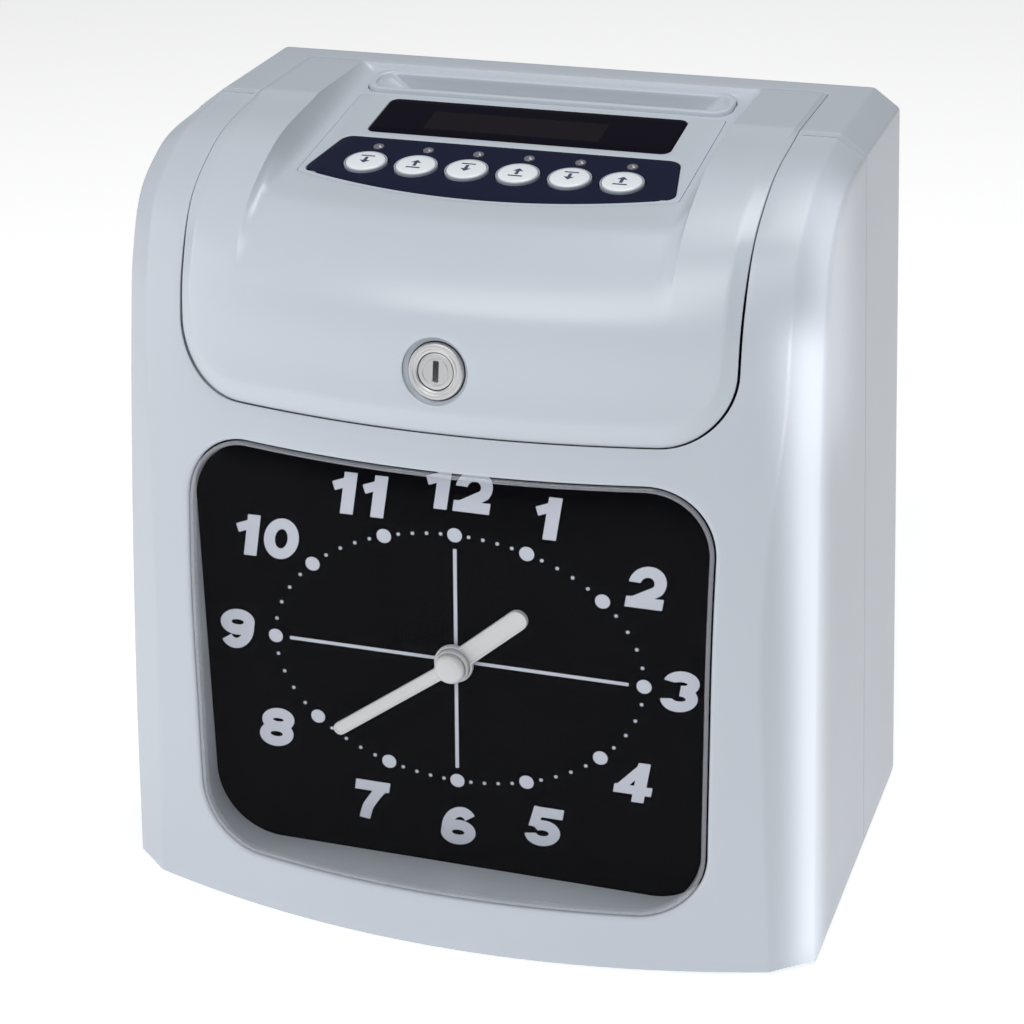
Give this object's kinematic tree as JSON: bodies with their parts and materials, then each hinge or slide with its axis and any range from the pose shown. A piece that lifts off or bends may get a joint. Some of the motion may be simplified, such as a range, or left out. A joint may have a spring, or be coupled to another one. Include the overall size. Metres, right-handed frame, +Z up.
{
  "type": "punch time clock",
  "caption": "Desk punch time clock: bowed plastic case with a windowed analogue dial, and a hinged locking top cover with card slot, display and round push buttons.",
  "frame": {"origin": "centre of the footprint, at the soles of the feet", "axes": "+X to the right as the dial is read, +Y from the dial to the back, +Z up"},
  "size_m": [0.218, 0.143, 0.233],
  "materials": {
    "case_plastic": "fine satin light grey-blue ABS",
    "cover_plastic": "semi-gloss light grey-blue ABS",
    "clear_plastic": "clear polished acrylic",
    "dial_black": "matt black printed sheet",
    "window_black": "dark tinted display window",
    "keypad_navy": "dark navy printed film",
    "hand_white": "white lacquer",
    "button_white": "white moulded keys",
    "black_plastic": "black moulded plastic",
    "nylon": "natural nylon",
    "rubber": "black rubber",
    "steel": "ground steel",
    "zinc_sheet": "zinc-plated sheet steel",
    "chrome": "satin chrome",
    "brass": "machined brass",
    "circuit_green": "green circuit board",
    "transformer_iron": "varnished iron core",
    "ribbon_ink": "inked nylon ribbon"
  },
  "bodies": {
    "case": {"rear_housing": "case_plastic", "front_case": "case_plastic", "clock_lens": "clear_plastic", "dial_plate": "dial_black", "movement_case": "black_plastic", "power_inlet": "black_plastic", "foot_front_left": "rubber", "foot_front_right": "rubber", "foot_rear_left": "rubber", "foot_rear_right": "rubber", "case_screw_1": "steel", "case_screw_2": "steel", "case_screw_3": "steel", "case_screw_4": "steel", "hinge_rail": "zinc_sheet", "hinge_pin": "steel", "print_frame": "zinc_sheet", "card_guide_rear": "zinc_sheet", "card_guide_front": "zinc_sheet", "carriage_shaft": "steel", "carriage_motor": "zinc_sheet", "timing_belt": "rubber", "feed_motor": "zinc_sheet", "main_board": "circuit_green", "transformer": "transformer_iron", "ribbon_cartridge": "black_plastic", "ink_ribbon": "ribbon_ink"},
    "cover": {"upper_cover": "cover_plastic", "control_panel": "cover_plastic", "display_window": "window_black", "keypad_overlay": "keypad_navy", "led_light_guide": "clear_plastic", "control_board": "circuit_green", "card_funnel": "cover_plastic", "lock_barrel": "chrome", "hinge_arm_left": "zinc_sheet", "hinge_arm_right": "zinc_sheet"},
    "button_1": {"push_button_1": "button_white"},
    "button_2": {"push_button_2": "button_white"},
    "button_3": {"push_button_3": "button_white"},
    "button_4": {"push_button_4": "button_white"},
    "button_5": {"push_button_5": "button_white"},
    "button_6": {"push_button_6": "button_white"},
    "lock": {"lock_plug": "chrome", "lock_cam": "zinc_sheet"},
    "minute_arbor": {"minute_hand": "hand_white", "hand_cap": "hand_white", "cannon_pinion": "brass"},
    "hour_arbor": {"hour_hand": "hand_white", "hour_wheel": "brass"},
    "intermediate_wheel": {"minute_wheel": "brass"},
    "carriage": {"print_carriage": "black_plastic", "print_head": "black_plastic"},
    "belt_drive": {"drive_pulley": "nylon"},
    "belt_idler": {"idler_pulley": "nylon"},
    "card_feed": {"feed_roller": "rubber", "feed_gear": "nylon"},
    "feed_drive": {"motor_pinion": "brass"},
    "card_pinch": {"pinch_roller": "rubber"},
    "ribbon_winder": {"ribbon_knob": "nylon"}
  },
  "joints": [
    {"name": "cover_hinge", "type": "hinge", "parent": "case", "child": "cover", "pos_m": [0, 0.0665, 0.2268], "axis": [-1, 0, 0], "range_deg": [0, 75]},
    {"name": "button_1_press", "type": "slide", "parent": "cover", "child": "button_1", "axis": [0, 0.1493, -0.9888], "range_m": [0, 0.001], "stiffness_N_per_m": 400, "springref_m": -0.0005},
    {"name": "button_2_press", "type": "slide", "parent": "cover", "child": "button_2", "axis": [0, 0.1493, -0.9888], "range_m": [0, 0.001], "stiffness_N_per_m": 400, "springref_m": -0.0005},
    {"name": "button_3_press", "type": "slide", "parent": "cover", "child": "button_3", "axis": [0, 0.1493, -0.9888], "range_m": [0, 0.001], "stiffness_N_per_m": 400, "springref_m": -0.0005},
    {"name": "button_4_press", "type": "slide", "parent": "cover", "child": "button_4", "axis": [0, 0.1493, -0.9888], "range_m": [0, 0.001], "stiffness_N_per_m": 400, "springref_m": -0.0005},
    {"name": "button_5_press", "type": "slide", "parent": "cover", "child": "button_5", "axis": [0, 0.1493, -0.9888], "range_m": [0, 0.001], "stiffness_N_per_m": 400, "springref_m": -0.0005},
    {"name": "button_6_press", "type": "slide", "parent": "cover", "child": "button_6", "axis": [0, 0.1493, -0.9888], "range_m": [0, 0.001], "stiffness_N_per_m": 400, "springref_m": -0.0005},
    {"name": "lock_turn", "type": "hinge", "parent": "cover", "child": "lock", "pos_m": [0, -0.0562, 0.1805], "axis": [0, -0.9839, 0.1788], "range_deg": [-90, 0]},
    {"name": "minute_turn", "type": "hinge", "parent": "case", "child": "minute_arbor", "pos_m": [0, -0.0477, 0.0864], "axis": [0, 1, 0], "continuous": true},
    {"name": "minute_wheel_turn", "type": "hinge", "parent": "case", "child": "intermediate_wheel", "pos_m": [0.0192, -0.0375, 0.0864], "axis": [0, 1, 0], "continuous": true},
    {"name": "hour_turn", "type": "hinge", "parent": "case", "child": "hour_arbor", "pos_m": [0, -0.0477, 0.0864], "axis": [0, 1, 0], "continuous": true},
    {"name": "carriage_slide", "type": "slide", "parent": "case", "child": "carriage", "axis": [1, 0, 0], "range_m": [-0.035, 0.035]},
    {"name": "drive_pulley_turn", "type": "hinge", "parent": "case", "child": "belt_drive", "pos_m": [0.048, 0.0055, 0.166], "axis": [0, 0, 1], "range_deg": [-340, 340]},
    {"name": "idler_pulley_turn", "type": "hinge", "parent": "case", "child": "belt_idler", "pos_m": [-0.048, 0.0055, 0.166], "axis": [0, 0, 1], "range_deg": [-340, 340]},
    {"name": "feed_turn", "type": "hinge", "parent": "case", "child": "card_feed", "pos_m": [0, 0.0579, 0.152], "axis": [1, 0, 0], "continuous": true},
    {"name": "motor_pinion_turn", "type": "hinge", "parent": "case", "child": "feed_drive", "pos_m": [0.073, 0.0453, 0.152], "axis": [1, 0, 0], "continuous": true},
    {"name": "pinch_turn", "type": "hinge", "parent": "case", "child": "card_pinch", "pos_m": [0, 0.044, 0.152], "axis": [1, 0, 0], "continuous": true},
    {"name": "ribbon_knob_turn", "type": "hinge", "parent": "case", "child": "ribbon_winder", "pos_m": [0.04, 0.0085, 0.204], "axis": [0, 0, 1], "continuous": true}
  ],
  "couplings": [
    {"joint": "minute_wheel_turn", "follows": "minute_turn", "ratio": -0.33333},
    {"joint": "hour_turn", "follows": "minute_turn", "ratio": 0.083333},
    {"joint": "drive_pulley_turn", "follows": "carriage_slide", "rad_per_m": -166.67},
    {"joint": "idler_pulley_turn", "follows": "carriage_slide", "rad_per_m": -166.67},
    {"joint": "motor_pinion_turn", "follows": "feed_turn", "ratio": -2.5},
    {"joint": "pinch_turn", "follows": "feed_turn", "ratio": -1.1111}
  ]
}
